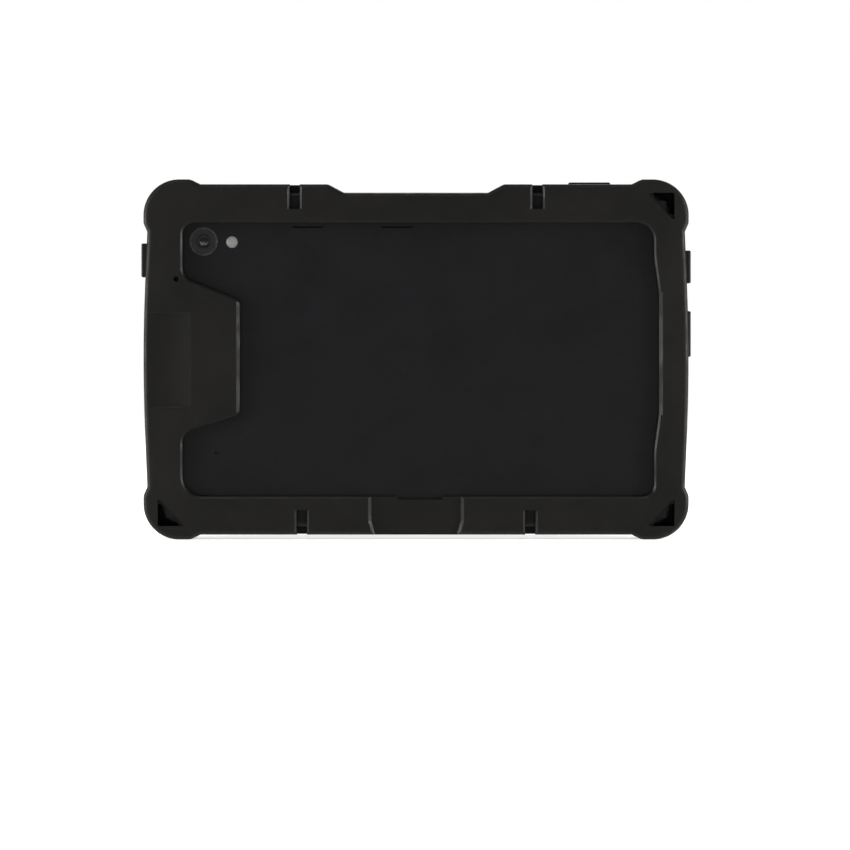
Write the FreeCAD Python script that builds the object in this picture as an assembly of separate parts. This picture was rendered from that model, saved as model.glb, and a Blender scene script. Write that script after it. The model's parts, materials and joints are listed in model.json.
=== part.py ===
# Rugged ten-inch field tablet in a moulded protective boot, standing on its lower long edge.
# Millimetres. X runs along the long side, Y from the back of the boot to the screen, Z up.
# The sub-parts are drawn about the middle of the boot, and each is lifted to stand on Z = 0
# when it is written out, so the origin is on the floor under the middle of the boot.
import FreeCAD
import Part

import math
import os

V = FreeCAD.Vector

# ---- Tablet: overall sizes -----------------------------------------------------------------
tablet_width = 257.0
tablet_height = 167.6
tablet_depth = 12.3
tablet_radius = 12.0

# ---- Boot: thicknesses round the tablet ------------------------------------------------------
bumper_wall_side = 8.1       # bumper outside the tablet's short edges
bumper_wall_long = 6.45      # bumper outside the tablet's long edges
bumper_front = 3.5           # bumper in front of the tablet's front
flange_thickness = 3.2       # boot material behind the tablet's back
rail_wall_long = 4.0         # upper and lower rails outside the tablet's long edges
rail_wall_corner = 5.2       # side rails, at the corners under the bumpers
rail_wall_middle = 8.8       # where the two straight lines of a bowed side rail would meet
rail_bow_radius = 900.0
rail_corner_radius = 14.0
rail_front_drop = 1.5        # rails lie this far behind the bumpers' front face
edge_round = 2.6             # rounding of the boot's outer edges
boot_fit = 0.2               # gap between the tablet's sides and the boot

# ---- Boot: corner bumpers ------------------------------------------------------------------
bumper_radius = 18.0
bumper_flat = (5.6, 4.0)     # straight part past the rounding, along the long and short edges
bumper_ramp_radius = 5.0
bumper_ramp_long = (11.5, 5.65)   # run and drop of the ramp on the long edge
bumper_ramp_short = (3.4, 7.7)    # drop and run of the ramp on the short edge
bumper_inner_cut = (10.0, 9.2)    # hidden inner corner of the bumper block
seam_past_flat = (7.0, 5.8)  # seam between bumper and rail, past the straight parts
seam_margin = 1.9            # seam's distance outside the corner pocket's legs
seam_inset = 1.4             # seam's ends lie this far beyond the ends of the pocket's legs
pocket_inset = (7.3, 6.85)   # corner pocket's right-angled corner, from the bumper's side and top
pocket_legs = (13.8, 14.4)
pocket_step = 1.5            # depth of the pocket's shallow triangle
pocket_band = 4.0            # width of the deep L along the pocket's two legs
pocket_lean = 2.8            # the L's ends stop this far short of the triangle's
pocket_depth = 13.0
pocket_round = 0.8

# ---- Boot: rear window, pad, scoop and openings ---------------------------------------------
window_inset_long = 15.1     # window's upper and lower edges, inside the tablet's edges
window_inset_left = 11.5
window_inset_right = 9.3     # window's right edge at its corners
window_bulge = 2.5           # the right edge bows out by this much
window_bulge_insets = (34.7, 40.7)     # its ends, from the window's upper and lower edges
window_bulge_run = 17.0
window_bulge_radius = 60.0
window_radii = (6.0, 9.0, 6.0, 10.0)   # top left, top right, bottom right, bottom left
window_edge_round = 0.9
pad_length = 28.7            # from the window's left edge to the pad's tip
pad_insets = (39.2, 41.2)    # ends of the pad's tip, from the window's upper and lower edges
pad_slope_top = 11.5         # rise of the pad's upper edge from its tip to the window's edge
pad_slope_bottom = 9.0
pad_tip_radius = 4.0
pad_root_radius = 7.0
pad_bevel = (1.6, 1.3)       # wide bevel on the pad's tip: along X, along Y
bow_bevel = (1.7, 1.4)       # bevel on the window's bowed right edge: along X, along Y
scoop_inset = 13.1           # middle of the finger scoop, from the boot's left side
scoop_width = 22.0
scoop_height = 48.0
scoop_depth = 1.1
drain_hole = (3.0, 0.8, 1.3) # left of the window's edge, below the pad's upper root, and radius

top_recess_floor = 35.5      # half lengths of the recess in the upper rail
top_recess_mouth = 44.0
top_recess_round = 4.0
top_recess_gap = 0.55        # the tablet's top edge stands this far out of the recess

strap_slot_width = 5.2
strap_slot_length = 12.5
strap_slot_bevel = 1.0
strap_slot_depth = 8.5
strap_slot_upper = 60.8      # from the middle
strap_slot_lower = 57.2

dock_recess_half = 22.4
dock_recess_depth = 1.5
dock_recess_slope = 1.6
dock_recess_bend = (7.0, 2.0) # ends draw in this far from the rail's outer edge, and by this much
dock_mouth = (35.0, 6.6)     # opening in the lower rail: along X, along Y
dock_mouth_round = 1.8
pry_slit = (-9.0, 13.0, 1.5) # from x, to x, and height

anchor_half = 7.1            # half length of the insert round each strap slot
dock_surround_half = 26.5    # half length of the insert round the dock mouth
insert_wall = 3.1            # inserts run this far past the inner ends of the strap slots
port_surround_inset = 8.5    # insert round the side ports, inside the tablet's side
port_surround_rows = (-30.0, 12.0)

lip_cover = 6.0              # boot's front lip covers this much of the tablet's front
lip_round = 5.0
lip_bevel = 1.4

# ---- Tablet: cover, glass and frame ----------------------------------------------------------
cover_wall = 2.2
cover_back = 1.8
cover_round = 2.4
glass_thickness = 1.0
glass_below = 0.2            # glass lies this far behind the rear cover's front rim
glass_gap = 0.15
adhesive_thickness = 0.2
adhesive_width = 2.6
plate_thickness = 1.0
frame_gap = 0.2
frame_rim = 3.0
frame_rim_height = 3.0
port_behind_plate = 2.6      # ports, keys and dock are centred this far behind the frame's plate

lcd_inset = (15.5, 11.8)     # display inside the tablet's edges: along X, along Z
lcd_radius = 1.0
lcd_lower = 0.5              # display's middle lies this far below the tablet's
lcd_tray_thickness = 1.2
screw_inset = (10.5, 8.5)    # outer screws, from the tablet's edges
screw_inner_column = 42.0
boss_radius = 2.4
screw_radius = 0.8
screw_clearance = 0.05
screw_length = 3.4           # of a frame screw's shank behind the plate
screw_head_radius = 1.6
screw_head_height = 0.9

# ---- Tablet: modules, placed from the tablet's nearest edges -----------------------------------
battery_insets = (70.5, 28.5, 23.8, 53.8)  # from the left, right, bottom and top edges
battery_thickness = 4.4
battery_radius = 3.0
board_insets = (44.5, 32.5, 47.8, 16.3)    # left and right; lower and upper edges from the top
board_thickness = 1.0
standoff_height = 1.6
standoff_radius = 2.0
standoff_inset = 4.0
shield_size = (36.0, 24.0, 1.5)
shield_columns = (-52.0, 6.0, 60.0)
io_board_insets = (11.5, 56.5)             # its two sides from the left edge
io_board_low = -14.0
io_board_drop = 10.0                       # from the main board's lower standoffs to its upper edge
nfc_coil = (50.0, 40.0, 3.0, 0.3)          # outer x, outer z, trace band, thickness

camera_inset = (22.0, 24.6)                # from the left and top edges
camera_glass_radius = 6.2
camera_glass_thickness = 1.0
camera_hole_radius = 4.6
camera_ring_width = 0.9
camera_ring_proud = 0.25
camera_module = 10.0
camera_barrel_radius = 3.6
flash_from_camera = (14.2, -0.4)
flash_radius = 2.9
flash_led = (3.2, 0.8)
microphone_inset = (28.5, 37.0)            # from the left and bottom edges
microphone_hole_radius = 0.9
microphone_body = (3.6, 1.0)
vent_slots = ((-54.5, 15.0), (-9.5, 16.0)) # x of the middle, and length
vent_slot = (2.3, 1.1, 1.2)                # below the window's upper edge, height and depth
front_camera = (8.8, 5.0, 2.9)             # from the top edge, size and thickness
front_lens = (1.4, 0.1, 0.5)               # radius, lens behind the glass, body behind the glass

scan_window_size = (24.0, 4.2)             # along X, along Y
scan_engine_size = (26.0, 4.6, 12.5)
speaker_inset = 40.5                       # from the side edges
speaker_size = (22.0, 4.6, 15.0)
speaker_slot = (14.0, 1.6)
speaker_slot_pitch = 3.0
antenna_size = (38.0, 0.3, 6.0)
antenna_inset = (49.5, 10.0)               # from the side and top edges
motor_inset = (40.5, 33.8)                 # from the left and bottom edges
motor_size = (5.0, 3.0)                    # radius and thickness

usb_shell = (9.0, 3.2, 9.0)                # along Z, along Y, length
usb_roundness = 0.45                       # corner radius as a share of the socket's depth
usb_wall = 0.3
usb_tongue = (6.6, 0.7, 6.0)
usb_mouth = (15.0, 8.4, 2.5)               # opening in the boot: along Z, along Y, radius
audio_row = -22.0
audio_body = (6.0, 4.6, 14.0)
audio_bore = 1.8
audio_mouth_radius = 4.5
dock_block = (30.0, 4.2, 11.8)
dock_contacts = 8
dock_contact_pitch = 3.2
dock_contact = (1.7, 2.4, 0.5)
port_gap = 0.15

# ---- Keys: distances are measured outwards from the tablet's side wall -----------------------
key_travel = 0.5
key_depth = 5.6              # along Y
key_gap = 0.3                # around a cap in its window
key_flange = (1.5, 0.8, 0.7) # extra half length, extra half depth, thickness
key_flange_base = 1.0
key_flange_room = 0.25
rocker_flange_room = 0.75
key_top_round = 0.8
rocker_end_gap = 0.6         # at the ends of the rocker's window, where its cap tilts
mark_depth = 0.3             # of the signs sunk into the caps' faces
mark_line = 0.5
sign_length = 2.4            # bars of the plus and minus signs
sign_inset = 5.0             # from the cap's ends
power_sign = (1.5, 1.3)      # outer radius of the power sign's ring, and length of its bar
grip_lines = (-3.0, 0.0, 3.0)
grip_length = 3.0
button_depth = 2.6
button_shorter = 7.0         # a button is this much shorter than its cap
button_gap = 0.3
button_proud = 0.3
button_flange = (1.0, 0.7, 0.6)
button_flange_room = 0.4
rocker_button_room = 0.75
switch_size = (4.5, 2.6, 1.2)
switch_air = 0.1
bracket_thickness = 0.6
rocker_pin_radius = 0.5
rocker_pin_fit = 0.05
rocker_pin_length = 7.0
rocker_switch_spacing = 11.0

power_key = (41.5, 21.0)     # middle from the tablet's right edge, and cap length
left_trigger = (34.0, 17.0)  # middle from the tablet's top edge, and cap length
right_trigger = (37.3, 16.5)
volume_key = (71.0, 23.0)
power_key_proud = 1.15       # of the upper rail
side_key_proud = 1.4         # of the bumpers' sides

# ---- Worked out from the sizes above ---------------------------------------------------------
tab_x = tablet_width / 2
tab_z = tablet_height / 2
half_w = tab_x + bumper_wall_side
half_h = tab_z + bumper_wall_long
rail_half = tab_z + rail_wall_long
boot_depth = flange_thickness + tablet_depth + bumper_front
back_y = -boot_depth / 2
front_y = boot_depth / 2
rail_front_y = front_y - rail_front_drop
tablet_back = back_y + flange_thickness
tablet_front = tablet_back + tablet_depth
inside_back = tablet_back + cover_back
in_x = tab_x - cover_wall
in_z = tab_z - cover_wall
window_z = tab_z - window_inset_long
window_left = tab_x - window_inset_left
window_right = tab_x - window_inset_right
pad_reach = window_left - pad_length
pad_top = window_z - pad_insets[0]
pad_bottom = window_z - pad_insets[1]
window_bulge_top = window_z - window_bulge_insets[0]
window_bulge_bottom = window_z - window_bulge_insets[1]
bumper_along = bumper_radius + bumper_flat[0]
bumper_down = bumper_radius + bumper_flat[1]
pocket_x = half_w - pocket_inset[0]
pocket_z = half_h - pocket_inset[1]
glass_front = tablet_front - glass_below
glass_back = glass_front - glass_thickness
rim_front = glass_back - adhesive_thickness
plate_front = rim_front - frame_rim_height
plate_back = plate_front - plate_thickness
port_y = plate_back - port_behind_plate
camera_place = (camera_inset[0] - tab_x, tab_z - camera_inset[1])
past = 1.0                   # how far a cutting tool runs past the face that it opens
near = 0.1                   # margin for picking edges by where they lie


# ---- Shape helpers ---------------------------------------------------------------------------
def outline_face(corners):
    """Face in the XZ plane through corners (x, z, radius), each rounded by its radius."""
    starts, mids, ends = [], [], []
    count = len(corners)
    for i, (x, z, radius) in enumerate(corners):
        here = V(x, 0, z)
        before = V(corners[i - 1][0], 0, corners[i - 1][1]) - here
        after = V(corners[(i + 1) % count][0], 0, corners[(i + 1) % count][1]) - here
        before.normalize()
        after.normalize()
        half_angle = before.getAngle(after) / 2
        reach = radius / math.tan(half_angle)
        starts.append(here + before * reach)
        ends.append(here + after * reach)
        inward = before + after
        inward.normalize()
        mids.append(here + inward * (radius / math.sin(half_angle) - radius))
    edges = []
    for i in range(count):
        if corners[i][2] > 0:
            edges.append(Part.Arc(starts[i], mids[i], ends[i]).toShape())
        edges.append(Part.LineSegment(ends[i], starts[(i + 1) % count]).toShape())
    return Part.Face(Part.Wire(edges))


def slab(corners, y_from, y_to):
    """Outline of rounded corners, extruded along Y."""
    face = outline_face(corners)
    face.translate(V(0, y_from, 0))
    return face.extrude(V(0, y_to - y_from, 0))


def rectangle(x, z, width, height, radius=0.0):
    """Corners of a rounded rectangle about (x, z)."""
    w = width / 2
    h = height / 2
    signs = ((-1, -1), (1, -1), (1, 1), (-1, 1))
    return [(x + w * sign_x, z + h * sign_z, radius) for sign_x, sign_z in signs]


def block(x_from, x_to, y_from, y_to, z_from, z_to):
    """Box between two corners."""
    return Part.makeBox(x_to - x_from, y_to - y_from, z_to - z_from, V(x_from, y_from, z_from))


def centred(x, y, z, width, depth, height):
    """Box about its middle."""
    return Part.makeBox(width, depth, height, V(x - width / 2, y - depth / 2, z - height / 2))


def rod_y(x, z, radius, y_from, y_to):
    """Cylinder along Y."""
    return Part.makeCylinder(radius, y_to - y_from, V(x, y_from, z), V(0, 1, 0))


def rod_x(y, z, radius, x_from, x_to):
    """Cylinder along X."""
    return Part.makeCylinder(radius, x_to - x_from, V(x_from, y, z), V(1, 0, 0))


def in_quarter(shape, side, level):
    """Copy of a shape drawn in the upper right, mirrored to side -1 or 1 and level -1 or 1."""
    if side < 0:
        shape = shape.mirror(V(0, 0, 0), V(1, 0, 0))
    if level < 0:
        shape = shape.mirror(V(0, 0, 0), V(0, 0, 1))
    return shape


def edges_on_plane(shape, y, keep=lambda box: True):
    """Edges lying on the plane at depth y, where keep(bounding box) is true."""
    tiny = 1e-4
    found = []
    for edge in shape.Edges:
        box = edge.BoundBox
        if abs(box.YMin - y) < tiny and abs(box.YMax - y) < tiny and keep(box):
            found.append(edge)
    return found


def write(name, shape):
    """Write one sub-part, lifted to stand on the floor."""
    shape = shape.copy()
    shape.translate(V(0, 0, half_h))
    shape.exportStep(os.path.join("parts", name + ".step"))


# ---- Keys ------------------------------------------------------------------------------------
# A key is drawn pointing up (+Z), with the tablet's side wall at Z = 0, and turned into place.
def place_key(shape, edge, along):
    """Turn and move a key drawn pointing up onto the top, left or right edge."""
    shape = shape.copy()
    if edge == "top":
        shape.translate(V(along, port_y, tab_z))
        return shape
    turn = 90 if edge == "right" else -90
    shape.rotate(V(0, 0, 0), V(0, 1, 0), turn)
    side = 1 if edge == "right" else -1
    shape.translate(V(side * tab_x, port_y, along))
    return shape


def centred_block(length, depth, low, high):
    """Box about the key's axis, from low to high."""
    return block(-length / 2, length / 2, -depth / 2, depth / 2, low, high)


def mark_bar(along, across, length, width, reach):
    """Shallow bar to sink into a cap's face."""
    return centred(along, across, reach, length, width, 2 * mark_depth)


def key_signs(name, length, reach):
    """Tools that sink a plain sign into a cap's face: power, plus and minus, or grip lines."""
    if name == "power":
        radius, bar = power_sign
        low = reach - mark_depth
        ring = Part.makeCylinder(radius, 2 * mark_depth, V(0, 0, low))
        ring = ring.cut(Part.makeCylinder(radius - mark_line, 3 * mark_depth, V(0, 0, low - mark_depth)))
        gap = mark_bar(0, -radius, 3 * mark_line, 2 * mark_line, reach)
        return [ring.cut(gap), mark_bar(0, -radius + bar / 4, mark_line, bar, reach)]
    if name == "volume":
        end = length / 2 - sign_inset
        plus = mark_bar(-end, 0, sign_length, mark_line, reach)
        return [plus.fuse(mark_bar(-end, 0, mark_line, sign_length, reach)),
                mark_bar(end, 0, mark_line, sign_length, reach)]
    return [mark_bar(along, 0, mark_line, grip_length, reach) for along in grip_lines]


def key_cap(name, length, reach):
    """Cap in the boot: face, retaining flange and the nub that meets the tablet's own button."""
    flange_top = key_flange_base + key_flange[2]
    cap = centred_block(length, key_depth, key_flange_base, reach)
    cap = cap.makeFillet(key_top_round, [e for e in cap.Edges if e.BoundBox.ZMax > reach - near])
    flange = centred_block(length + 2 * key_flange[0], key_depth + 2 * key_flange[1],
                           key_flange_base, flange_top)
    nub = centred_block(length - button_shorter, button_depth, button_proud, key_flange_base)
    return cap.fuse([flange, nub]).removeSplitter().cut(key_signs(name, length, reach))


def key_window(length, reach, room, end_gap):
    """Room that the boot leaves for a cap."""
    shaft = centred_block(length + 2 * end_gap, key_depth + 2 * key_gap, -past, reach + past)
    pocket = centred_block(length + 2 * key_flange[0] + 2 * key_gap,
                           key_depth + 2 * key_flange[1] + 2 * key_gap,
                           -past, key_flange_base + key_flange[2] + room)
    return shaft.fuse(pocket)


def key_button(cap_length, room):
    """The tablet's own button in its side wall, with the flange that keeps it in."""
    length = cap_length - button_shorter
    flange_top = -cover_wall - room
    stem = centred_block(length, button_depth, flange_top, button_proud)
    flange = centred_block(length + 2 * button_flange[0], button_depth + 2 * button_flange[1],
                           flange_top - button_flange[2], flange_top)
    return stem.fuse(flange).removeSplitter()


def button_window(cap_length):
    """Hole in the tablet's side wall for a button."""
    length = cap_length - button_shorter
    return centred_block(length + 2 * button_gap, button_depth + 2 * button_gap, -cover_wall - past, past)


def key_switch(room, at=0.0):
    """Tact switch on its bracket, one travel below a button."""
    top = -cover_wall - room - button_flange[2] - key_travel - switch_air
    base = top - switch_size[2]
    switch = centred_block(switch_size[0], switch_size[1], base, top)
    bracket = block(-switch_size[0] / 2, switch_size[0] / 2, inside_back - port_y, plate_back - port_y,
                    base - bracket_thickness, base)
    both = switch.fuse(bracket).removeSplitter()
    both.translate(V(at, 0, 0))
    return both


side_reach = bumper_wall_side + side_key_proud
volume_row = tab_z - volume_key[0]
# name: edge, place along it, cap length, and how far the cap's face stands out
KEYS = {
    "power": ("top", tab_x - power_key[0], power_key[1], rail_wall_long + power_key_proud),
    "left_trigger": ("left", tab_z - left_trigger[0], left_trigger[1], side_reach),
    "right_trigger": ("right", tab_z - right_trigger[0], right_trigger[1], side_reach),
    "volume": ("right", volume_row, volume_key[1], side_reach),
}


def rooms(name):
    """Play of the cap's flange and of the button's flange for a key."""
    if name == "volume":
        return rocker_flange_room, rocker_button_room
    return key_flange_room, button_flange_room


# ---- Boot ------------------------------------------------------------------------------------
def boot_rails():
    """Straight and bowed rails as one block with rounded outer edges."""
    corner = tab_x + rail_wall_corner
    middle = tab_x + rail_wall_middle
    floor = tab_z - top_recess_gap
    corners = [
        (-corner, -rail_half, rail_corner_radius),
        (corner, -rail_half, rail_corner_radius),
        (middle, 0, rail_bow_radius),
        (corner, rail_half, rail_corner_radius),
        (top_recess_mouth, rail_half, top_recess_round),
        (top_recess_floor, floor, top_recess_round),
        (-top_recess_floor, floor, top_recess_round),
        (-top_recess_mouth, rail_half, top_recess_round),
        (-corner, rail_half, rail_corner_radius),
        (-middle, 0, rail_bow_radius),
    ]
    rails = slab(corners, back_y, rail_front_y)
    outer = edges_on_plane(rails, back_y) + edges_on_plane(rails, rail_front_y)
    return rails.makeFillet(edge_round, outer)


def bumper_block():
    """Corner bumper of the upper right as a plain block with rounded edges."""
    run_long, drop_long = bumper_ramp_long
    drop_short, run_short = bumper_ramp_short
    shoulder_x = half_w - bumper_along
    shoulder_z = half_h - bumper_down
    corners = [
        (shoulder_x - run_long, half_h - drop_long, 0),
        (shoulder_x, half_h, bumper_ramp_radius),
        (half_w, half_h, bumper_radius),
        (half_w, shoulder_z, bumper_ramp_radius),
        (half_w - drop_short, shoulder_z - run_short, 0),
        (half_w - drop_short - bumper_inner_cut[0], shoulder_z - run_short, 0),
        (shoulder_x - run_long, half_h - drop_long - bumper_inner_cut[1], 0),
    ]
    shape = slab(corners, back_y, front_y)
    return shape.makeFillet(edge_round, edges_on_plane(shape, back_y) + edges_on_plane(shape, front_y))


def rear_window_corners():
    """Rear window with the pad reaching in from the left and the bowed right edge."""
    top_left, top_right, bottom_right, bottom_left = window_radii
    bulge = window_right + window_bulge
    return [
        (-window_left, -window_z, bottom_left),
        (window_right, -window_z, bottom_right),
        (window_right, -window_bulge_bottom - window_bulge_run, window_bulge_radius),
        (bulge, -window_bulge_bottom, window_bulge_radius),
        (bulge, window_bulge_top, window_bulge_radius),
        (window_right, window_bulge_top + window_bulge_run, window_bulge_radius),
        (window_right, window_z, top_right),
        (-window_left, window_z, top_left),
        (-window_left, pad_top + pad_slope_top, pad_root_radius),
        (-pad_reach, pad_top, pad_tip_radius),
        (-pad_reach, -pad_bottom, pad_tip_radius),
        (-window_left, -pad_bottom - pad_slope_bottom, pad_root_radius),
    ]


def scoop_tool():
    """Shallow cylinder across the left rail."""
    radius = (scoop_width ** 2 / 4 + scoop_depth ** 2) / (2 * scoop_depth)
    start = V(scoop_inset - half_w, back_y + scoop_depth - radius, -scoop_height / 2)
    tool = Part.makeCylinder(radius, scoop_height, start, V(0, 0, 1))
    rims = [e for e in tool.Edges if e.Closed]
    return tool.makeFillet(scoop_depth, rims)


def strap_slot(x, level):
    """Bevelled slot open to the outer edge of the upper or lower rail."""
    half = strap_slot_width / 2
    mouth = half + strap_slot_bevel + past
    section = [
        V(x - mouth, back_y - past, 0),
        V(x + mouth, back_y - past, 0),
        V(x + half, back_y + strap_slot_bevel, 0),
        V(x + half, back_y + strap_slot_depth, 0),
        V(x - half, back_y + strap_slot_depth, 0),
        V(x - half, back_y + strap_slot_bevel, 0),
    ]
    face = Part.Face(Part.makePolygon(section + section[:1]))
    face.translate(V(0, 0, rail_half - strap_slot_length))
    slot = face.extrude(V(0, 0, strap_slot_length + past))
    return in_quarter(slot, 1, level)


def corner_pocket(side, level):
    """Triangular pocket with a deep L along its two outer legs."""
    x = pocket_x
    z = pocket_z
    leg_x, leg_z = pocket_legs
    band = pocket_band
    r = pocket_round
    triangle = [(x - leg_x, z, r), (x, z, r), (x, z - leg_z, r)]
    shallow = slab(triangle, back_y - past, back_y + pocket_step)
    letter_l = [
        (x - leg_x + pocket_lean, z, r),
        (x, z, r),
        (x, z - leg_z + pocket_lean, r),
        (x - band, z - leg_z + pocket_lean + band / 2, r),
        (x - band, z - band, r),
        (x - leg_x + pocket_lean + band / 2, z - band, r),
    ]
    deep = slab(letter_l, back_y - past, back_y + pocket_depth)
    return in_quarter(shallow.fuse(deep), side, level)


def dock_recess_wire(half, y):
    """Outline of the dock recess at one depth, narrower at the rail's outer edge."""
    start, lean = dock_recess_bend
    edge = half - lean * (start + past) / start
    right = [(half, past - window_z), (half, start - rail_half), (edge, -rail_half - past)]
    left = [(-x, z) for x, z in reversed(right)]
    points = [V(x, y, z) for x, z in right + left]
    return Part.makePolygon(points + points[:1])


def dock_recess():
    """Shallow recess across the lower rail, with sloped ends."""
    reach = dock_recess_slope * (past + dock_recess_depth) / dock_recess_depth
    foot = dock_recess_wire(dock_recess_half, back_y + dock_recess_depth)
    mouth = dock_recess_wire(dock_recess_half + reach, back_y - past)
    return Part.makeLoft([foot, mouth], True, True)


def front_opening():
    """Opening in the front lip, with its edge bevelled down to the glass."""
    w = tablet_width - 2 * lip_cover
    h = tablet_height - 2 * lip_cover
    hole = slab(rectangle(0, 0, w, h, lip_round), tablet_front - past, front_y + past)
    wide = 2 * lip_bevel
    foot = outline_face(rectangle(0, 0, w, h, lip_round))
    foot.translate(V(0, rail_front_y - lip_bevel, 0))
    mouth = outline_face(rectangle(0, 0, w + wide, h + wide, lip_round + lip_bevel))
    mouth.translate(V(0, rail_front_y, 0))
    bevel = Part.makeLoft([foot.OuterWire, mouth.OuterWire], True, True)
    above = slab(rectangle(0, 0, w + wide, h + wide, lip_round + lip_bevel), rail_front_y, front_y + past)
    return hole.fuse([bevel, above])


def port_mouths():
    """Openings in the boot's walls for the dock, the USB plug, the audio plug and the speakers."""
    length, depth = dock_mouth
    deep = rail_wall_long + past
    dock = centred(0, port_y, -tab_z - deep / 2, length, depth, deep)
    dock = dock.makeFillet(dock_mouth_round, [e for e in dock.Edges if e.BoundBox.ZLength > past])
    length, depth, radius = usb_mouth
    deep = bumper_wall_side + past
    usb = centred(-tab_x - deep / 2, port_y, 0, deep, depth, length)
    usb = usb.makeFillet(radius, [e for e in usb.Edges if e.BoundBox.XLength > past])
    audio = rod_x(port_y, audio_row, audio_mouth_radius, -half_w - past, -tab_x)
    return [dock, usb, audio] + speaker_slots(-rail_half - past, -tab_z)


def speaker_slots(z_from, z_to):
    """Pairs of sound slots in front of the two speakers."""
    slots = []
    for side in (-1, 1):
        for row in (-0.5, 0.5):
            y = port_y + row * speaker_slot_pitch
            x = side * (tab_x - speaker_inset)
            slots.append(centred(x, y, (z_from + z_to) / 2, *speaker_slot, z_to - z_from))
    return slots


def whole_boot():
    """Rails and bumpers in one, with every opening cut."""
    bumper = bumper_block()
    corners = [in_quarter(bumper, side, level) for side in (-1, 1) for level in (-1, 1)]
    boot = boot_rails().fuse(corners).removeSplitter()
    cavity = slab(rectangle(0, 0, tablet_width + 2 * boot_fit, tablet_height + 2 * boot_fit,
                            tablet_radius + boot_fit), tablet_back, tablet_front)
    window = slab(rear_window_corners(), back_y - past, tablet_back + past)
    boot = boot.cut([cavity, window])
    boot = bevel_window(boot)
    tools = [scoop_tool(), dock_recess(), front_opening()] + port_mouths()
    left, below, radius = drain_hole
    drain_z = pad_top + pad_slope_top - below
    tools.append(rod_y(-window_left - left, drain_z, radius, back_y - past, tablet_back + past))
    tools.append(block(pry_slit[0], pry_slit[1], back_y - past, tablet_back + past,
                       -window_z - pry_slit[2], -window_z + past))
    for side in (-1, 1):
        tools.append(strap_slot(side * strap_slot_upper, 1))
        tools.append(strap_slot(side * strap_slot_lower, -1))
    for side, level in ((1, 1), (-1, -1), (1, -1)):
        tools.append(corner_pocket(side, level))
    for name, (edge, along, length, reach) in KEYS.items():
        end_gap = rocker_end_gap if name == "volume" else key_gap
        tools.append(place_key(key_window(length, reach, rooms(name)[0], end_gap), edge, along))
    return boot.cut(tools)


def bevel_window(boot):
    """Small bevel all round the rear window, with wider ones on the pad's tip and the bowed edge."""
    def is_window(box):
        inside = max(abs(box.XMin), abs(box.XMax)) < window_right + window_bulge + past
        return inside and max(abs(box.ZMin), abs(box.ZMax)) < window_z + near

    boot = boot.makeChamfer(window_edge_round, edges_on_plane(boot, back_y, is_window))
    tip = wedge(-pad_reach, -1, pad_bevel, -pad_bottom, pad_top)
    bow = wedge(window_right + window_bulge, 1, bow_bevel, -window_bulge_bottom, window_bulge_top)
    return boot.cut([tip, bow])


def wedge(x, side, bevel, z_from, z_to):
    """Tool that bevels a straight upright edge at x, where side is the direction into the boot."""
    width, depth = bevel
    section = [
        V(x - side * past, back_y - past, 0),
        V(x + side * width * (1 + past / depth), back_y - past, 0),
        V(x, back_y + depth, 0),
        V(x - side * past, back_y + depth, 0),
    ]
    face = Part.Face(Part.makePolygon(section + section[:1]))
    face.translate(V(0, 0, z_from))
    return face.extrude(V(0, 0, z_to - z_from))


def bumper_zone():
    """Space of the upper right bumper: outside a seam that cuts the corner diagonally."""
    x = pocket_x
    z = pocket_z
    leg_x, leg_z = pocket_legs
    slope = leg_z / leg_x
    seam_x = half_w - bumper_along - seam_past_flat[0]
    seam_z = half_h - bumper_down - seam_past_flat[1]
    corners = [
        (seam_x, half_h + past, 0),
        (half_w + past, half_h + past, 0),
        (half_w + past, seam_z, 0),
        (x + seam_margin, seam_z, 0),
        (x + seam_margin, z - leg_z - seam_inset - seam_margin * slope, 0),
        (x - leg_x - seam_inset - seam_margin / slope, z + seam_margin, 0),
        (seam_x, z + seam_margin, 0),
    ]
    return slab(corners, back_y - past, front_y + past)


def rail_zone(x_from, x_to, level):
    """Space of an insert across the upper or lower rail."""
    inner = rail_half - strap_slot_length - insert_wall
    zone = block(x_from, x_to, back_y - past, front_y + past, inner, rail_half + past)
    return in_quarter(zone, 1, level)


def port_zone():
    """Space of the insert round the USB and audio mouths in the left rail."""
    low, high = port_surround_rows
    return block(-half_w - past, port_surround_inset - tab_x, back_y - past, front_y + past, low, high)


def make_boot():
    """Boot shell, its four corner bumpers and the inserts round its openings."""
    boot = whole_boot()
    zone = bumper_zone()
    zones = {
        "dock_surround": rail_zone(-dock_surround_half, dock_surround_half, -1),
        "port_surround": port_zone(),
    }
    for level, level_name, slot_x in ((1, "top", strap_slot_upper), (-1, "bottom", strap_slot_lower)):
        for side, side_name in ((-1, "left"), (1, "right")):
            place = f"{level_name}_{side_name}"
            zones["corner_bumper_" + place] = in_quarter(zone, side, level)
            middle = side * slot_x
            zones["strap_anchor_" + place] = rail_zone(middle - anchor_half, middle + anchor_half, level)
    for name, region in zones.items():
        write(name, boot.common(region))
    write("boot_shell", boot.cut(list(zones.values())))


# ---- Tablet ----------------------------------------------------------------------------------
def screw_places():
    """Places of the screws that hold the mid frame to the rear cover."""
    outer = tab_x - screw_inset[0]
    row = tab_z - screw_inset[1]
    columns = (-outer, -screw_inner_column, screw_inner_column, outer)
    return [(x, z) for x in columns for z in (-row, row)]


def scan_opening(gap):
    """Scan window's opening through the tablet's top wall, or the window itself with no gap."""
    w, d = scan_window_size
    opening = centred(0, port_y, (in_z + tab_z) / 2, w + 2 * gap, d + 2 * gap, cover_wall)
    return opening.makeFillet(d / 3, [e for e in opening.Edges if e.BoundBox.ZLength > past])


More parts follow.
